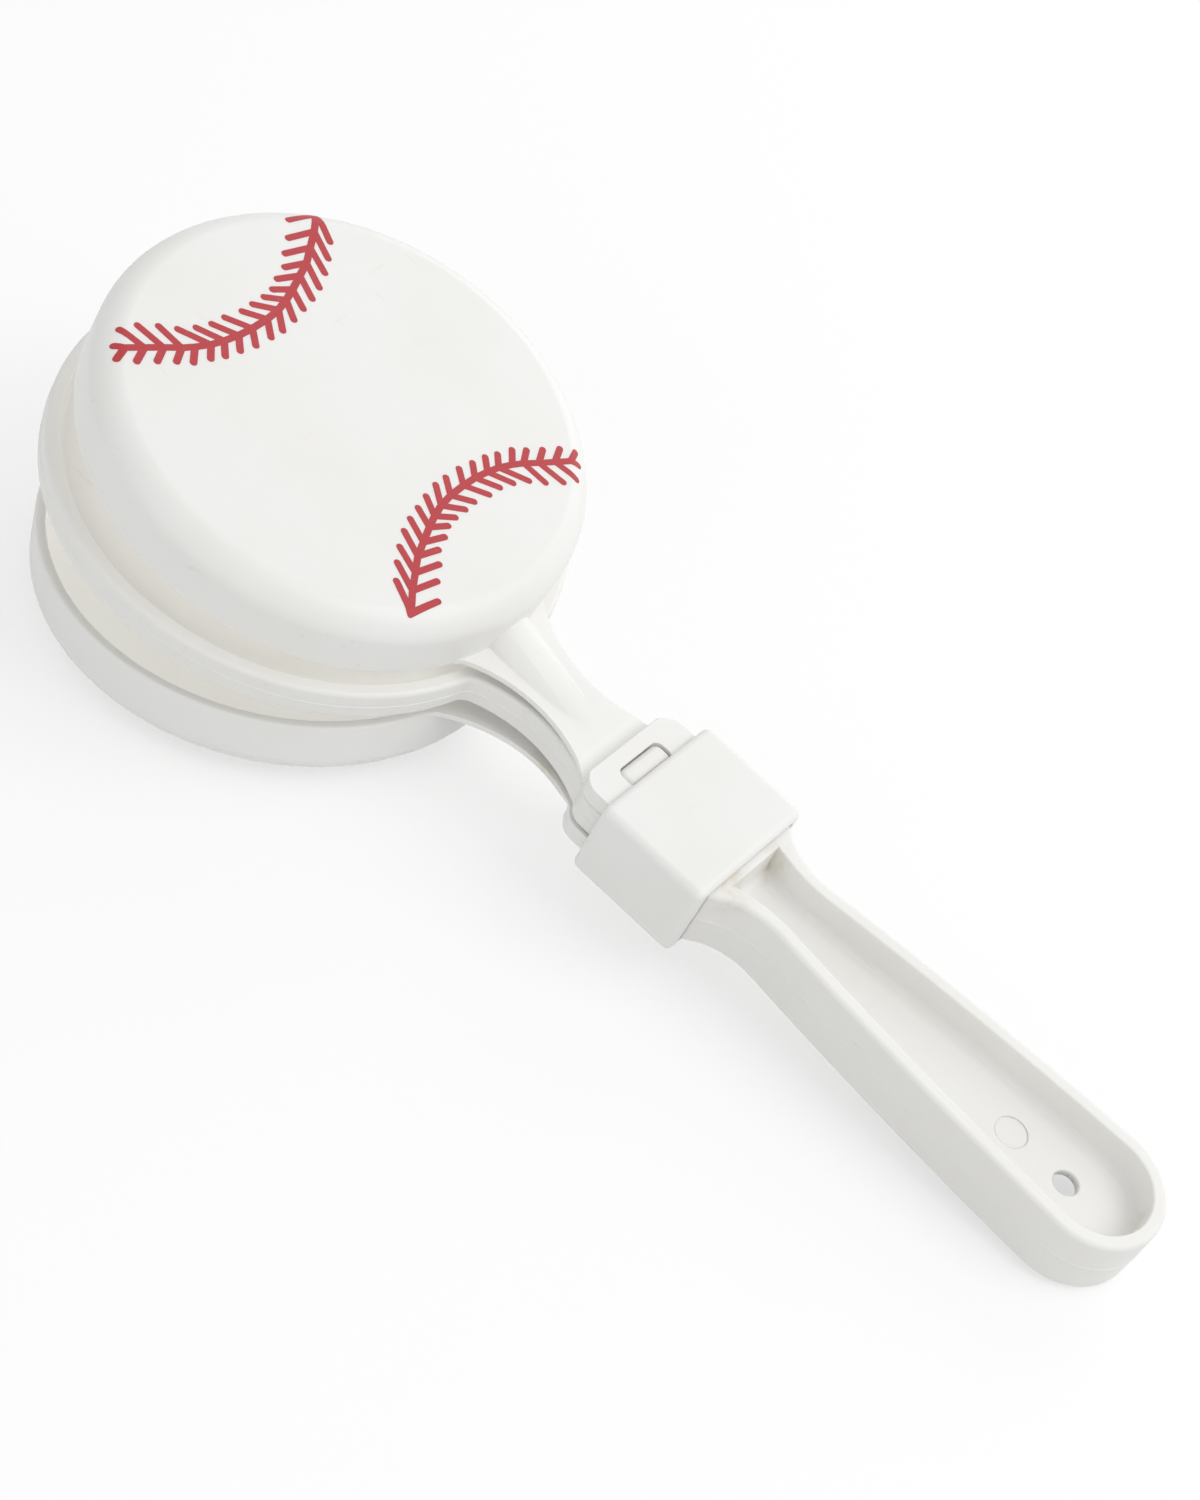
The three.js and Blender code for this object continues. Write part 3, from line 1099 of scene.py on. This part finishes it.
@dataclass
class SeamPrint:
    """The two printed seams of ball stitching on the face of the upper cup."""

    stroke: float = 1.15
    film: float = 0.03
    depth: float = 2.4
    far_turn: float = 178.16
    far_scale: float = 1.056
    far_shift: Point = (1.98, 0.91)

    def build(self, clapper: Clapper) -> Work:
        """Cuts the strokes out of a skin over the cup.

        Args:
            clapper: The upper clapper, for the shape and opening of its cup.

        Returns:
            The print at rest, in millimetres in the paddle's frame.
        """
        size = LAYOUT
        near = self.seam()
        far = near.copy()
        near.settle(self.place(0, 1, (0, 0)))
        far.settle(self.place(self.far_turn, self.far_scale, self.far_shift))
        near.gather([far])
        near.combine(clapper.cup_blank(self.film), Mix.COMMON, tangled=True)
        near.turn(clapper.opening, "Y", (size.hinge_x, 0, size.hinge_z))
        return near

    def place(self, turn: float, scale: float, shift: Point) -> Matrix:
        """Where a seam goes on the face of the cup."""
        centre = Vector((LAYOUT.disc_x, 0, 0))
        return (
            Matrix.Translation(centre + Vector((*shift, 0)))
            @ Matrix.Rotation(math.radians(turn), 4, "Z")
            @ Matrix.Diagonal((scale, scale, 1, 1))
        )

    def seam(self) -> Work:
        """All strokes of one seam, about the middle of the face.

        Returns:
            The strokes, as loose parts.
        """
        strokes = []
        for this, following in zip(STITCHES, STITCHES[1:]):
            strokes.append(self.line(this.meets, following.meets))
        for stitch in STITCHES:
            for leg in filter(None, (stitch.inner, stitch.outer)):
                turn = math.radians(leg[0])
                x, y = stitch.meets
                end = (x + leg[1] * math.cos(turn), y + leg[1] * math.sin(turn))
                strokes.append(self.line((x, y), end))
        strokes[0].gather(strokes[1:])
        return strokes[0]

    def line(self, start: Point, end: Point) -> Work:
        """One stroke with round ends, as an upright solid.

        Args:
            start: Where it begins.
            end: Where it ends.

        Returns:
            The stroke.
        """
        level = LAYOUT.cup_top
        settings = {"vertices": 16, "radius": self.stroke / 2, "depth": self.depth}
        stroke = Work.add(bpy.ops.mesh.primitive_cylinder_add, location=(*start, level), **settings)
        with stroke.editing():
            bpy.ops.mesh.primitive_cylinder_add(location=(*end, level), **settings)
            take_all()
            bpy.ops.mesh.convex_hull()
        return stroke


# Finishes


class Value:
    """A number that varies over a surface. Arithmetic on it adds Math nodes."""

    def __init__(self, paint: "Nodes", socket: bpy.types.NodeSocket) -> None:
        """Wraps an output socket."""
        self.paint = paint
        self.socket = socket

    def _math(self, operation: str, first: "Term", second: "Term" = 0.0) -> "Value":
        """Adds a Math node on two terms."""
        node = self.paint.node("ShaderNodeMath", {"operation": operation}, {0: first, 1: second})
        return Value(self.paint, node.outputs[0])

    def __add__(self, other: "Term") -> "Value":
        """Sum."""
        return self._math("ADD", self, other)

    def __radd__(self, other: "Term") -> "Value":
        """Sum, reflected."""
        return self._math("ADD", other, self)

    def __sub__(self, other: "Term") -> "Value":
        """Difference."""
        return self._math("SUBTRACT", self, other)

    def __rsub__(self, other: "Term") -> "Value":
        """Difference, reflected."""
        return self._math("SUBTRACT", other, self)

    def __mul__(self, other: "Term") -> "Value":
        """Product."""
        return self._math("MULTIPLY", self, other)

    def __rmul__(self, other: "Term") -> "Value":
        """Product, reflected."""
        return self._math("MULTIPLY", other, self)

    def above(self, edge: float, soft: float) -> "Value":
        """Goes from 0 to 1 around an edge, over a soft width."""
        node = self.paint.node(
            "ShaderNodeMapRange",
            {"interpolation_type": "SMOOTHSTEP"},
            {"Value": self, "From Min": edge - soft, "From Max": edge + soft},
        )
        return Value(self.paint, node.outputs["Result"])

    def below(self, edge: float, soft: float) -> "Value":
        """Goes from 1 to 0 around an edge, over a soft width."""
        return 1 - self.above(edge, soft)


Term = Union[Value, float]


class Nodes:
    """A node tree under way, of a material or of the world."""

    def __init__(self, owner: Union[bpy.types.Material, bpy.types.World]) -> None:
        """Starts an empty tree.

        Args:
            owner: The material or world.
        """
        owner.use_nodes = True
        self.tree = owner.node_tree
        self.tree.nodes.clear()

    def node(
        self,
        kind: str,
        settings: Optional[dict[str, Any]] = None,
        inputs: Optional[dict[Union[str, int], Any]] = None,
    ) -> bpy.types.Node:
        """Adds any node.

        Args:
            kind: Its type.
            settings: Its own settings, set first.
            inputs: The value or link of each of its sockets.

        Returns:
            The node.
        """
        made = self.tree.nodes.new(kind)
        for name, value in (settings or {}).items():
            setattr(made, name, value)
        for name, value in (inputs or {}).items():
            value = value.socket if isinstance(value, Value) else value
            if isinstance(value, bpy.types.NodeSocket):
                self.tree.links.new(value, made.inputs[name])
            else:
                made.inputs[name].default_value = value
        return made

    def vector(self, operation: str, first: Any, second: Any = (0, 0, 0)) -> bpy.types.Node:
        """Adds a Vector Math node."""
        return self.node("ShaderNodeVectorMath", {"operation": operation}, {0: first, 1: second})

    def seen(self) -> Value:
        """1 for what the camera or gloss sees, and 0 for light on its way."""
        ray = self.node("ShaderNodeLightPath")
        return Value(self, ray.outputs["Is Camera Ray"]) + Value(self, ray.outputs["Is Glossy Ray"])


class Paint(Nodes):
    """A material under way, on the rest places of the piece that wears it, so that it bends along."""

    def __init__(self, name: str) -> None:
        """Starts an empty material.

        Args:
            name: Its name.
        """
        self.material = bpy.data.materials.new(name)
        super().__init__(self.material)
        self.spots = self.node("ShaderNodeAttribute", {"attribute_name": REST_PLACE}).outputs["Vector"]

    def stretched(self, scale: Sequence[float], turn: float) -> bpy.types.NodeSocket:
        """The coordinates, turned in plan by an angle in degrees and stretched."""
        sockets = {"Vector": self.spots, "Rotation": (0, 0, math.radians(turn)), "Scale": scale}
        return self.node("ShaderNodeMapping", {}, sockets).outputs[0]

    def noise(self, scale: float, detail: float, rough: float = 0.5, where: Any = None) -> Value:
        """Cloudy noise from 0 to 1.

        Args:
            scale: Clouds per metre.
            detail: Finer layers.
            rough: How strong the finer layers are.
            where: The coordinates, or none for the piece's own.

        Returns:
            The noise.
        """
        sockets = {"Vector": where or self.spots, "Scale": scale, "Detail": detail, "Roughness": rough}
        return Value(self, self.node("ShaderNodeTexNoise", {}, sockets).outputs[0])

    def specks(self, scale: float, radius: float, share: float) -> Value:
        """Small round specks.

        Args:
            scale: Cells per metre, of which each may hold one speck.
            radius: Radius of the largest speck, in cells.
            share: Share of the cells that hold one.

        Returns:
            1 in a speck and 0 elsewhere.
        """
        cells = self.node("ShaderNodeTexVoronoi", {}, {"Vector": self.spots, "Scale": scale})
        pick = self.node("ShaderNodeSeparateColor", {}, {0: cells.outputs["Color"]})
        chosen = Value(self, pick.outputs[0]).below(share, soft=0.001)
        size = Value(self, pick.outputs[1]) * radius
        depth = size - Value(self, cells.outputs["Distance"])
        return depth.above(0.0, soft=radius * 0.25) * chosen

    def under(self, centre: Sequence[float], axis: Sequence[float], reach: float) -> Value:
        """1 where the piece, as it is posed, is within a reach of a plane, and 0 farther up its axis.

        Args:
            centre: A place on the plane.
            axis: The way up from it, of length one.
            reach: The reach, in metres.

        Returns:
            The share.
        """
        posed = self.node("ShaderNodeTexCoord").outputs["Object"]
        way = self.vector("SUBTRACT", posed, tuple(centre)).outputs["Vector"]
        height = self.vector("DOT_PRODUCT", way, tuple(axis)).outputs["Value"]
        return Value(self, height).below(reach, soft=5e-5)

    def near(self, place: Sequence[float], radius: float) -> Value:
        """A soft ball around a place of the piece, 1 in its middle and 0 outside."""
        away = self.vector("DISTANCE", self.spots, tuple(place)).outputs["Value"]
        return Value(self, away).below(radius * 0.6, soft=radius * 0.4)

    def blend(self, share: Term, first: Any, second: Any) -> bpy.types.NodeSocket:
        """Goes from one colour to another.

        Args:
            share: How much of the second there is.
            first: A colour or the link of one.
            second: Another.

        Returns:
            The link of the mixed colour.
        """
        node = self.node("ShaderNodeMix", {"data_type": "RGBA"}, {"Factor": share})
        made = [s for s in node.inputs if s.type == "RGBA"]
        for socket, colour in zip(made, (first, second)):
            if isinstance(colour, bpy.types.NodeSocket):
                self.tree.links.new(colour, socket)
            else:
                socket.default_value = (*colour, 1)
        return [s for s in node.outputs if s.type == "RGBA"][0]

    def surface(self, colour: Any, roughness: Value, height: Value, depth: float, **fixed: Any) -> None:
        """Ends the material in one glossy surface.

        Args:
            colour: The base colour.
            roughness: The roughness.
            height: The relief, from 0 to 1.
            depth: Depth of the relief, in metres.
            **fixed: Values that are the same all over, by the name of their socket.
        """
        relief = self.node("ShaderNodeBump", {}, {"Height": height, "Strength": 1.0, "Distance": depth})
        sockets = {"Base Color": colour, "Roughness": roughness, "Normal": relief.outputs[0]}
        sockets.update({name.replace("_", " "): value for name, value in fixed.items()})
        shader = self.node("ShaderNodeBsdfPrincipled", {}, sockets)
        self.node("ShaderNodeOutputMaterial", {}, {"Surface": shader.outputs[0]})

    def put_on(self, thing: bpy.types.Object) -> None:
        """Makes this the only material of a piece."""
        thing.data.materials.clear()
        thing.data.materials.append(self.material)


@dataclass(frozen=True)
class WhitePlastic:
    """Moulded white plastic with faint clouding, specks and rub marks, brownish painted shade in listed
    spots, and a painted glow inside the cups.
    """

    name: str
    colour: Colour = (0.86, 0.855, 0.832)
    clouded: Colour = (0.80, 0.792, 0.755)
    # Brownish colour of the rub marks, and of the painted shade spots.
    wear_and_shade_colour: Colour = (0.70, 0.655, 0.56)
    speck: Colour = (0.16, 0.14, 0.12)
    roughness: float = 0.34
    translucency: float = 0.3
    depth: float = 0.0008
    speck_share: float = 0.1
    relief: float = 0.00007
    # Painted shade: places in the paddle's frame in millimetres, with radii, where the colour darkens in
    # a mottled ball.
    painted_shade_spots: tuple[tuple[Place, float], ...] = ()
    # Painted light: colour and strength, upper and lower cup, of the emission inside the cups that stands
    # in for light through their walls.
    painted_glow: Colour = (1.0, 0.985, 0.93)
    painted_glow_strength: tuple[float, float] = (0.32, 0.2)

    def dress(
        self,
        thing: bpy.types.Object,
        place: Matrix,
        side: Side = Side.UPPER,
        cavity: Optional[Matrix] = None,
    ) -> None:
        """Gives a piece this finish.

        Args:
            thing: The piece.
            place: The paddle's frame in millimetres, for the places of the painted shade spots.
            side: Which cup it is, if it is one.
            cavity: The closed cup's frame in millimetres, for a painted glow inside a cup that stands
            in for the light through its thin wall, or none.
        """
        paint = Paint(self.name)
        clouds = paint.noise(scale=38, detail=3, rough=0.55)
        grain = paint.noise(scale=1900, detail=2, rough=0.6)
        flow = paint.noise(scale=26, detail=2, where=paint.stretched((0.35, 1.5, 1.0), turn=24))
        scratches = self.scratches(paint)
        colour = paint.blend(clouds.above(edge=0.6, soft=0.25) * 0.45, self.colour, self.clouded)
        shade_mottle = paint.noise(scale=420, detail=4, rough=0.7).above(edge=0.55, soft=0.14)
        # Painted shade: darker brownish balls in corners, gaps and hollows, mottled.
        for spot, radius in self.painted_shade_spots:
            ball = paint.near(place @ Vector(spot), radius * MM)
            colour = paint.blend(ball * (0.25 + 0.55 * shade_mottle), colour, self.wear_and_shade_colour)
        colour = paint.blend(scratches * 0.22, colour, self.wear_and_shade_colour)
        specks = paint.specks(scale=95, radius=0.026, share=self.speck_share)
        colour = paint.blend(specks * 0.8, colour, self.speck)
        roughness = self.roughness + 0.12 * clouds + 0.1 * grain + 0.18 * scratches
        height = 0.55 * flow + 0.1 * grain - 0.25 * scratches + 0.2 * clouds
        fixed: dict[str, Any] = {
            "IOR": 1.46,
            "Subsurface_Weight": self.translucency,
            "Subsurface_Scale": self.depth,
            "Subsurface_Radius": (1.0, 1.0, 1.0),
        }
        # Painted light: the inside of the cup glows by emission, though it is no lamp.
        if cavity:
            self.mark_inside(thing, cavity)
            fixed["Emission_Color"] = self.painted_light_through(paint, cavity)
            fixed["Emission_Strength"] = self.painted_glow_strength[0 if side is Side.UPPER else 1]
        paint.surface(colour, roughness, height, self.relief, **fixed)
        paint.put_on(thing)

    def painted_light_through(self, paint: Paint, cavity: Matrix) -> bpy.types.NodeSocket:
        """Painted light: a glow by emission inside the cup, in place of the light that its thin wall lets
        through.

        A cup that swings far away from the paddle gets plain light inside, and no painted glow.

        Args:
            paint: The material under way.
            cavity: The closed cup's frame in millimetres.

        Returns:
            The link of the painted glow's colour.
        """
        size = LAYOUT
        centre = cavity @ Vector((size.disc_x, 0, size.tab_bottom))
        axis = (cavity.to_3x3() @ Vector((0, 0, 1))).normalized()
        reach = (size.cup_roof - size.tab_bottom + 0.1) * MM
        marks = paint.node("ShaderNodeAttribute", {"attribute_name": CUP_INSIDE}).outputs["Fac"]
        share = Value(paint, marks) * paint.under(centre, axis, reach)
        return paint.blend(share, (0, 0, 0), self.painted_glow)

    def mark_inside(self, thing: bpy.types.Object, cavity: Matrix) -> None:
        """Marks the faces inside the cup, where the painted glow goes.

        Args:
            thing: The clapper.
            cavity: The closed cup's frame in millimetres.
        """
        size = LAYOUT
        closed = cavity.inverted()
        radius, roof = size.cup_inner + 0.15, size.cup_roof + 0.1
        spots = [closed @ face.center for face in thing.data.polygons]
        marks = [math.hypot(s.x - size.disc_x, s.y) < radius and s.z < roof for s in spots]
        inside = thing.data.attributes.new(CUP_INSIDE, "FLOAT", "FACE")
        inside.data.foreach_set("value", [float(mark) for mark in marks])

    def scratches(self, paint: Paint) -> Value:
        """Thin faint rub marks in two directions, in patches.

        Args:
            paint: The material under way.

        Returns:
            1 on a mark and 0 elsewhere.
        """
        first, second = (
            paint.noise(scale=9, detail=2, where=paint.stretched(stretch, turn)).above(edge, soft=0.035)
            for stretch, turn, edge in (((6, 160, 60), 31, 0.72), ((150, 7, 60), -18, 0.73))
        )
        patch = paint.noise(scale=55, detail=1).above(edge=0.56, soft=0.06)
        return (first + second).above(edge=0.5, soft=0.5) * patch


@dataclass(frozen=True)
class PrintInk:
    """Red printing ink, a little uneven where the plastic shows through."""

    name: str = "seam_red_ink"
    colour: Colour = (0.47, 0.036, 0.046)
    thin: Colour = (0.52, 0.09, 0.1)
    roughness: float = 0.42
    relief: float = 0.00002

    def dress(self, thing: bpy.types.Object) -> None:
        """Gives the print this finish.

        Args:
            thing: The print.
        """
        paint = Paint(self.name)
        cover = paint.noise(scale=1500, detail=3, rough=0.7)
        wash = paint.noise(scale=120, detail=2)
        worn = cover.above(edge=0.66, soft=0.12) * 0.6 + wash.above(edge=0.6, soft=0.2) * 0.15
        colour = paint.blend(worn, self.colour, self.thin)
        roughness = self.roughness + 0.15 * cover
        paint.surface(colour, roughness, cover, self.relief, IOR=1.46)
        paint.put_on(thing)


# Studio


@dataclass(frozen=True)
class Lamp:
    """One soft square lamp, aimed at the middle of the object."""

    name: str
    place: Place
    side: float
    watts: float

    def hang(self, target: Vector) -> None:
        """Adds the lamp.

        Args:
            target: What it is aimed at.
        """
        data = bpy.data.lights.new(self.name, "AREA")
        data.shape, data.size, data.energy = "SQUARE", self.side, self.watts
        lamp = bpy.data.objects.new(self.name, data)
        lamp.location = self.place
        lamp.rotation_euler = (target - Vector(self.place)).to_track_quat("-Z", "Y").to_euler()
        bpy.context.scene.collection.objects.link(lamp)


@dataclass
class Studio:
    """Pale floor, white surroundings, soft lamps and the camera of the photograph."""

    camera_place: Place = (74.759, -320.216, 363.369)
    camera_turn: tuple[float, float, float] = (38.3934, -20.1854, 39.7531)
    lens: float = 77.84
    sensor: float = 36.0
    sight: Point = (0.01, 20.0)
    lamps: tuple[Lamp, ...] = (
        Lamp("key_lamp", (0.65, 0.25, 0.9), 0.9, 5.0),
        Lamp("back_lamp", (-0.1, 0.9, 0.45), 0.8, 2.2),
        Lamp("fill_lamp", (-0.1, -0.9, 0.3), 0.8, 1.4),
    )
    lamp_aim: Place = (0.0, 0.0, 0.02)
    surround: float = 0.6
    floor_side: float = 6.0
    floor_level: float = -0.0002
    floor_bounce: float = 0.78
    floor_share: float = 0.6
    floor_fade: Point = (0.9, 0.5)

    def build(self, place: Matrix) -> None:
        """Sets everything up.

        Args:
            place: The paddle's frame in millimetres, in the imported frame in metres.
        """
        scene = bpy.context.scene
        scene.view_settings.view_transform = "Standard"
        self.floor()
        self.world()
        for lamp in self.lamps:
            lamp.hang(Vector(self.lamp_aim))
        data = bpy.data.cameras.new("camera")
        data.sensor_fit, data.sensor_width, data.lens = "AUTO", self.sensor, self.lens
        data.clip_start, data.clip_end = self.sight
        camera = bpy.data.objects.new("camera", data)
        turn = Euler([math.radians(a) for a in self.camera_turn], "XYZ").to_matrix().to_4x4()
        unscaled = Matrix.Translation(place.translation) @ place.to_3x3().normalized().to_4x4()
        camera.matrix_world = unscaled @ Matrix.Translation(Vector(self.camera_place) * MM) @ turn
        scene.collection.objects.link(camera)
        scene.camera = camera

    def floor(self) -> None:
        """The floor, which holds the shadow.

        To the camera it is mostly clear, with the white surroundings behind it, and all clear far
        away and from below. A clapper that swings down through it so stays in sight. Light that
        bounces off it meets a plain grey.
        """
        level = (0, 0, self.floor_level)
        floor = Work.add(bpy.ops.mesh.primitive_plane_add, size=self.floor_side, location=level)
        floor.thing.name = "floor"
        paint = Paint("pale_floor")
        seen = paint.seen()
        colour = paint.blend(seen, (self.floor_bounce,) * 3, (1.0, 1.0, 1.0))
        spots = paint.node("ShaderNodeTexCoord").outputs["Object"]
        near = Value(paint, paint.vector("LENGTH", spots).outputs["Value"]).below(*self.floor_fade)
        beneath = Value(paint, paint.node("ShaderNodeNewGeometry").outputs["Backfacing"])
        clear = seen * (1 - (1 - self.floor_share) * near * (1 - beneath))
        own = paint.node("ShaderNodeBsdfDiffuse", {}, {"Color": colour})
        through = paint.node("ShaderNodeBsdfTransparent")
        sockets = {0: clear, 1: own.outputs[0], 2: through.outputs[0]}
        mixed = paint.node("ShaderNodeMixShader", {}, sockets)
        paint.node("ShaderNodeOutputMaterial", {}, {"Surface": mixed.outputs[0]})
        paint.put_on(floor.thing)

    def world(self) -> None:
        """White surroundings that light the object a little."""
        world = bpy.data.worlds.new("white_room")
        nodes = Nodes(world)
        strength = self.surround + (1 - self.surround) * nodes.seen()
        back = nodes.node("ShaderNodeBackground", {}, {"Color": (1, 1, 1, 1), "Strength": strength})
        nodes.node("ShaderNodeOutputWorld", {}, {"Surface": back.outputs[0]})
        bpy.context.scene.world = world


# The whole


@dataclass
class HandClapper:
    """All finished pieces of the clapper."""

    frame: dict[str, Any]
    plastic: WhitePlastic = WhitePlastic(
        "paddle_white_plastic",
        # Painted shade at the front of the handle's recess, under the collar's mouth and in the hole.
        painted_shade_spots=(
            ((12.0, 5.0, 3.0), 5.0),
            ((11.5, -6.0, 5.0), 6.0),
            ((89.0, 3.0, 3.0), 3.5),
            ((76.3, 0.0, -0.6), 2.6),
        ),
    )
    collar_plastic: WhitePlastic = WhitePlastic(
        "collar_white_plastic", colour=(0.87, 0.868, 0.85), roughness=0.36, speck_share=0.03
    )
    cup_plastic: WhitePlastic = WhitePlastic(
        "cup_white_plastic",
        colour=(0.872, 0.868, 0.85),
        roughness=0.27,
        speck_share=0.05,
        # Painted shade where the upper neck meets its cup, in the gap by the lower neck and inside the
        # lower cup.
        painted_shade_spots=(((-36.0, -12.0, 4.5), 6.0), ((-22.0, -7.0, -4.0), 7.0), ((-95.0, -30.0, -9.0), 12.0)),
    )

    def joint(self, name: str) -> dict[str, Any]:
        """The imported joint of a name."""
        return next(j for j in self.frame["joints"] if j["name"] == name)

    def place(self) -> Matrix:
        """The paddle's frame in millimetres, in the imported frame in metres, from the two hinges.

        Returns:
            The frame, as a matrix.
        """
        upper = Vector(self.joint("upper_hinge")["pos_m"])
        lower = Vector(self.joint("lower_hinge")["pos_m"])
        up = (upper - lower).normalized()
        along = Vector((0, 1, 0)).cross(up)
        origin = (upper + lower) / 2 - LAYOUT.hinge_x * MM * along
        turn = Matrix((along, (0, 1, 0), up)).transposed().to_4x4()
        return Matrix.Translation(origin) @ turn @ Matrix.Scale(MM, 4)

    def build(self) -> None:
        """Models and dresses every piece, and mounts the paddle's pieces and the print on their bodies.
        """
        place = self.place()
        paddle = Paddle().build().finish("paddle_moulding", place)
        self.plastic.dress(paddle, place)
        self.mount(paddle, "centre_paddle")
        collar = Collar().build().finish("collar_moulding", place)
        self.collar_plastic.dress(collar, place)
        self.mount(collar, "collar_sleeve")
        for side, body in ((Side.UPPER, Body.UPPER), (Side.LOWER, Body.LOWER)):
            self.add_clapper(place, side, body)

    def mount(self, thing: bpy.types.Object, node: str) -> None:
        """Puts a piece on the paddle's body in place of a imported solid.

        Args:
            thing: The piece.
            node: The solid that it stands for.
        """
        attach(thing, Body.PADDLE.value)
        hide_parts(node)
        self.report(thing)

    def add_clapper(self, place: Matrix, side: Side, body: Body) -> None:
        """Adds a clapper, which bends at its web, and the print on the upper one.

        Args:
            place: The paddle's frame in millimetres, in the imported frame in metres.
            side: Which clapper it is.
            body: The body that its cup rides on.
        """
        key = side.name.lower()
        clapper = Clapper(side, -self.joint(f"{key}_hinge")["range_deg"][0])
        thing = clapper.build().finish(f"{key}_clapper_moulding", place)
        self.cup_plastic.dress(thing, place, side, place @ clapper.pose())
        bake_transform(thing)
        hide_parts(f"{key}_clapper_cup", f"{key}_hinge_web", f"{key}_locking_tab")
        self.report(thing)
        if side is Side.UPPER:
            seams = SeamPrint().build(clapper).finish("seam_print", place)
            PrintInk().dress(seams)
            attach(seams, body.value)
            self.report(seams)

    def report(self, thing: bpy.types.Object) -> None:
        """Logs a finished piece with its size."""
        size = [round(length / MM, 1) for length in thing.dimensions]
        log.info("%s: %d faces, %s mm", thing.name, len(thing.data.polygons), size)


def main() -> None:
    """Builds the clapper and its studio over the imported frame."""
    logging.basicConfig(level=logging.INFO, format="%(relativeCreated)d ms %(name)s: %(message)s")
    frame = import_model()
    clapper = HandClapper(frame)
    Studio().build(clapper.place())
    clapper.build()
    put_down()
    bpy.context.view_layer.update()


if __name__ == "__main__":
    main()
